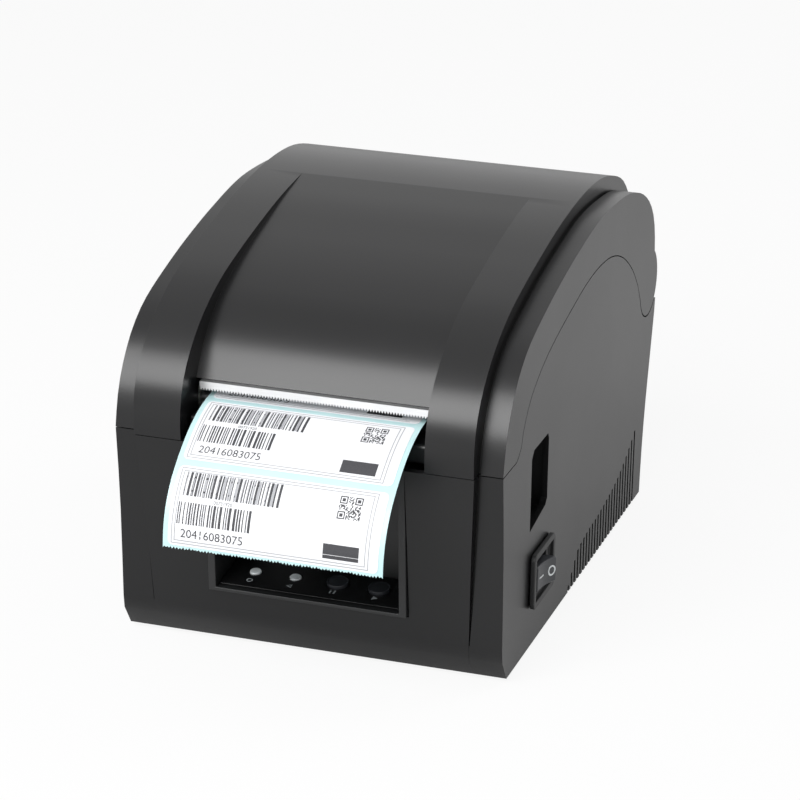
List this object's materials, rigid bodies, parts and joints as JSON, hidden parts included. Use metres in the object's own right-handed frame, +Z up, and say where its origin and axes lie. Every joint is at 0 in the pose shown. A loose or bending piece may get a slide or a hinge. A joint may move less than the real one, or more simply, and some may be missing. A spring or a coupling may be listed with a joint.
{
  "type": "thermal label printer",
  "caption": "Desktop thermal label printer with hinged arched lid, loaded label roll, platen drive, print head, tear bar, lid latch, keys and power rocker.",
  "frame": {"origin": "middle of the bounding box in x and y, at the soles of the rubber feet", "axes": "+Z up, -Y towards the user (label exit), +X to the user's right (power switch side)"},
  "size_m": [0.1558, 0.261, 0.1533],
  "materials": {
    "case_plastic": "black ABS, fine spark texture",
    "inner_plastic": "black ABS, plain moulded",
    "key_plastic": "dark grey ABS, smooth",
    "lamp_lens": "clear milky lens",
    "rubber": "black, ground",
    "steel": "bright turned or ground steel",
    "zinc_sheet": "zinc plated sheet",
    "aluminium": "plain extruded",
    "gear_plastic": "natural acetal",
    "circuit_board": "green solder resist",
    "cardboard": "spiral wound kraft",
    "label_paper": "white thermal labels on pale blue-green liner"
  },
  "bodies": {
    "base": {"base_shell": "case_plastic", "bottom_plate": "inner_plastic", "bottom_screw_1": "steel", "bottom_screw_2": "steel", "bottom_screw_3": "steel", "bottom_screw_4": "steel", "rubber_foot_1": "rubber", "rubber_foot_2": "rubber", "rubber_foot_3": "rubber", "rubber_foot_4": "rubber", "window_pocket": "inner_plastic", "key_ledge": "case_plastic", "ready_lamp": "lamp_lens", "error_lamp": "lamp_lens", "key_board": "circuit_board", "exit_lip": "case_plastic", "label_guide": "inner_plastic", "gap_sensor": "inner_plastic", "chassis": "zinc_sheet", "platen_bush_left": "gear_plastic", "platen_bush_right": "gear_plastic", "idler_post": "steel", "stepper_motor": "zinc_sheet", "media_tray": "inner_plastic", "label_strip": "label_paper", "control_board": "circuit_board", "power_inlet": "inner_plastic", "data_socket": "steel", "switch_housing": "inner_plastic", "lever_bay": "inner_plastic", "hinge_pin_left": "steel", "hinge_pin_right": "steel"},
    "lid": {"lid_shell": "case_plastic", "tear_bar": "steel", "tear_bar_screw_1": "steel", "tear_bar_screw_2": "steel", "head_carrier": "zinc_sheet", "head_spring_1": "steel", "head_spring_2": "steel", "lid_striker_left": "steel", "lid_striker_right": "steel"},
    "head": {"head_heatsink": "aluminium", "print_head": "inner_plastic"},
    "platen": {"platen_shaft": "steel", "platen_roller": "rubber", "platen_gear": "gear_plastic"},
    "idler": {"idler_gear": "gear_plastic"},
    "pinion": {"motor_pinion": "steel", "motor_shaft": "steel"},
    "roll": {"roll_core": "cardboard", "label_roll": "label_paper"},
    "holder_left": {"roll_holder_left": "key_plastic"},
    "holder_right": {"roll_holder_right": "key_plastic"},
    "latch": {"latch_shaft": "steel", "latch_catch_left": "zinc_sheet", "latch_catch_right": "zinc_sheet", "release_lever": "key_plastic"},
    "rocker": {"power_rocker": "key_plastic"},
    "pause_key": {"pause_button": "key_plastic"},
    "feed_key": {"feed_button": "key_plastic"}
  },
  "joints": [
    {"name": "lid_hinge", "type": "hinge", "parent": "base", "child": "lid", "pos_m": [-0.00293, 0.11655, 0.095], "axis": [-1, 0, 0], "range_deg": [0, 80]},
    {"name": "head_float", "type": "slide", "parent": "lid", "child": "head", "axis": [0, 0, 1], "range_m": [0, 0.0012], "stiffness_N_per_m": 2500, "springref_m": -0.004, "deforming": ["head_spring_1", "head_spring_2"]},
    {"name": "roll_turn", "type": "hinge", "parent": "base", "child": "roll", "pos_m": [-0.00293, 0.02905, 0.072], "axis": [1, 0, 0], "continuous": true},
    {"name": "platen_turn", "type": "hinge", "parent": "base", "child": "platen", "pos_m": [-0.00293, -0.06895, 0.092], "axis": [1, 0, 0], "continuous": true},
    {"name": "idler_turn", "type": "hinge", "parent": "base", "child": "idler", "pos_m": [-0.05993, -0.05695, 0.07007], "axis": [1, 0, 0], "continuous": true},
    {"name": "motor_turn", "type": "hinge", "parent": "base", "child": "pinion", "pos_m": [-0.05993, -0.04945, 0.04937], "axis": [1, 0, 0], "continuous": true},
    {"name": "holder_left_slide", "type": "slide", "parent": "base", "child": "holder_left", "axis": [-1, 0, 0], "range_m": [0, 0.006], "stiffness_N_per_m": 150, "springref_m": -0.01},
    {"name": "holder_right_slide", "type": "slide", "parent": "base", "child": "holder_right", "axis": [1, 0, 0], "range_m": [0, 0.006]},
    {"name": "latch_turn", "type": "hinge", "parent": "base", "child": "latch", "pos_m": [-0.00293, -0.03545, 0.078], "axis": [-1, 0, 0], "range_deg": [0, 10], "stiffness_Nm_per_rad": 0.1, "springref_deg": -28.65},
    {"name": "power_rocker_turn", "type": "hinge", "parent": "base", "child": "rocker", "pos_m": [0.06847, -0.04345, 0.0293], "axis": [0, 0, 1], "range_deg": [0, 27.6]},
    {"name": "pause_press", "type": "slide", "parent": "base", "child": "pause_key", "axis": [0, 0.1289, -0.9917], "range_m": [0, 0.0012], "stiffness_N_per_m": 400, "springref_m": -0.001},
    {"name": "feed_press", "type": "slide", "parent": "base", "child": "feed_key", "axis": [0, 0.1289, -0.9917], "range_m": [0, 0.0012], "stiffness_N_per_m": 400, "springref_m": -0.001}
  ],
  "couplings": [
    {"joint": "platen_turn", "follows": "roll_turn", "ratio": 6.75},
    {"joint": "idler_turn", "follows": "roll_turn", "ratio": -3.7969},
    {"joint": "motor_turn", "follows": "roll_turn", "ratio": 10.125},
    {"joint": "holder_right_slide", "follows": "holder_left_slide", "ratio": 1}
  ]
}
